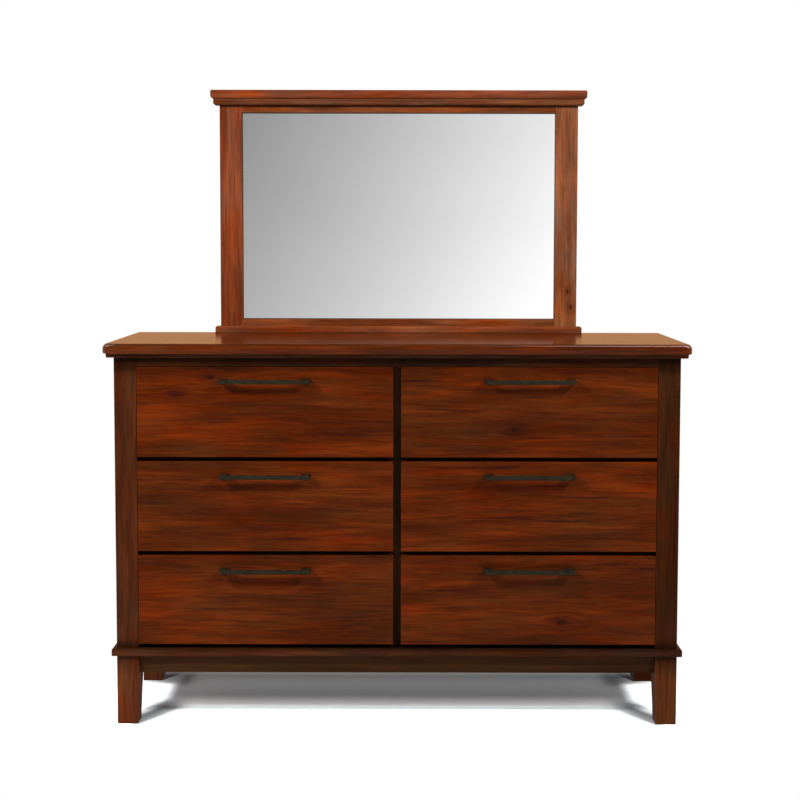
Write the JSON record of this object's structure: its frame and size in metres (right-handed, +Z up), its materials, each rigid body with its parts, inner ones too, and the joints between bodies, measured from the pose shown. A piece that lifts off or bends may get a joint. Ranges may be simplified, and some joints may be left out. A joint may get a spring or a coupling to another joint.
{
  "type": "dresser with mirror",
  "caption": "Wooden dresser on tapered feet with bar-pull drawers on side slides and a framed mirror standing at the back of its top.",
  "frame": {"origin": "on the floor, under the middle of the bounding box", "axes": "+Z up, +X to the right seen from the front, +Y to the rear; the drawers open towards -Y"},
  "size_m": [1.534, 0.4614, 1.704],
  "materials": {
    "case_wood": "reddish brown satin lacquer",
    "inner_wood": "dark brown stain",
    "drawer_wood": "clear satin",
    "panel_board": "plain board",
    "pull_bronze": "dark bronze, satin",
    "slide_steel": "black coat, satin",
    "screw_steel": "zinc plated",
    "mirror_silver": "silvered plain glass"
  },
  "bodies": {
    "case": {"top_panel": "case_wood", "top_moulding": "case_wood", "front_posts": "case_wood", "rear_posts": "case_wood", "base_moulding": "case_wood", "aprons": "case_wood", "bottom_panel": "inner_wood", "left_side_panel": "case_wood", "right_side_panel": "case_wood", "back_panel": "panel_board", "centre_partition": "inner_wood", "back_cleat": "inner_wood", "top_rail": "case_wood", "row_rails": "inner_wood", "slide_rails": "slide_steel", "mirror_stiles": "case_wood", "mirror_rails": "case_wood", "mirror_glass": "mirror_silver", "mirror_backing": "panel_board", "mirror_base": "case_wood", "mirror_cap_moulding": "case_wood", "mirror_cap": "case_wood", "mirror_supports": "inner_wood", "support_screws": "screw_steel"},
    "bottom_left_drawer": {"bottom_left_drawer_front": "case_wood", "bottom_left_drawer_sides": "drawer_wood", "bottom_left_drawer_ends": "drawer_wood", "bottom_left_drawer_bottom": "panel_board", "bottom_left_drawer_pull": "pull_bronze", "bottom_left_drawer_slides": "slide_steel"},
    "middle_left_drawer": {"middle_left_drawer_front": "case_wood", "middle_left_drawer_sides": "drawer_wood", "middle_left_drawer_ends": "drawer_wood", "middle_left_drawer_bottom": "panel_board", "middle_left_drawer_pull": "pull_bronze", "middle_left_drawer_slides": "slide_steel"},
    "top_left_drawer": {"top_left_drawer_front": "case_wood", "top_left_drawer_sides": "drawer_wood", "top_left_drawer_ends": "drawer_wood", "top_left_drawer_bottom": "panel_board", "top_left_drawer_pull": "pull_bronze", "top_left_drawer_slides": "slide_steel"},
    "bottom_right_drawer": {"bottom_right_drawer_front": "case_wood", "bottom_right_drawer_sides": "drawer_wood", "bottom_right_drawer_ends": "drawer_wood", "bottom_right_drawer_bottom": "panel_board", "bottom_right_drawer_pull": "pull_bronze", "bottom_right_drawer_slides": "slide_steel"},
    "middle_right_drawer": {"middle_right_drawer_front": "case_wood", "middle_right_drawer_sides": "drawer_wood", "middle_right_drawer_ends": "drawer_wood", "middle_right_drawer_bottom": "panel_board", "middle_right_drawer_pull": "pull_bronze", "middle_right_drawer_slides": "slide_steel"},
    "top_right_drawer": {"top_right_drawer_front": "case_wood", "top_right_drawer_sides": "drawer_wood", "top_right_drawer_ends": "drawer_wood", "top_right_drawer_bottom": "panel_board", "top_right_drawer_pull": "pull_bronze", "top_right_drawer_slides": "slide_steel"}
  },
  "joints": [
    {"name": "bottom_left_drawer_slide", "type": "slide", "parent": "case", "child": "bottom_left_drawer", "axis": [0, -1, 0], "range_m": [0, 0.26]},
    {"name": "middle_left_drawer_slide", "type": "slide", "parent": "case", "child": "middle_left_drawer", "axis": [0, -1, 0], "range_m": [0, 0.26]},
    {"name": "top_left_drawer_slide", "type": "slide", "parent": "case", "child": "top_left_drawer", "axis": [0, -1, 0], "range_m": [0, 0.26]},
    {"name": "bottom_right_drawer_slide", "type": "slide", "parent": "case", "child": "bottom_right_drawer", "axis": [0, -1, 0], "range_m": [0, 0.26]},
    {"name": "middle_right_drawer_slide", "type": "slide", "parent": "case", "child": "middle_right_drawer", "axis": [0, -1, 0], "range_m": [0, 0.26]},
    {"name": "top_right_drawer_slide", "type": "slide", "parent": "case", "child": "top_right_drawer", "axis": [0, -1, 0], "range_m": [0, 0.26]}
  ]
}
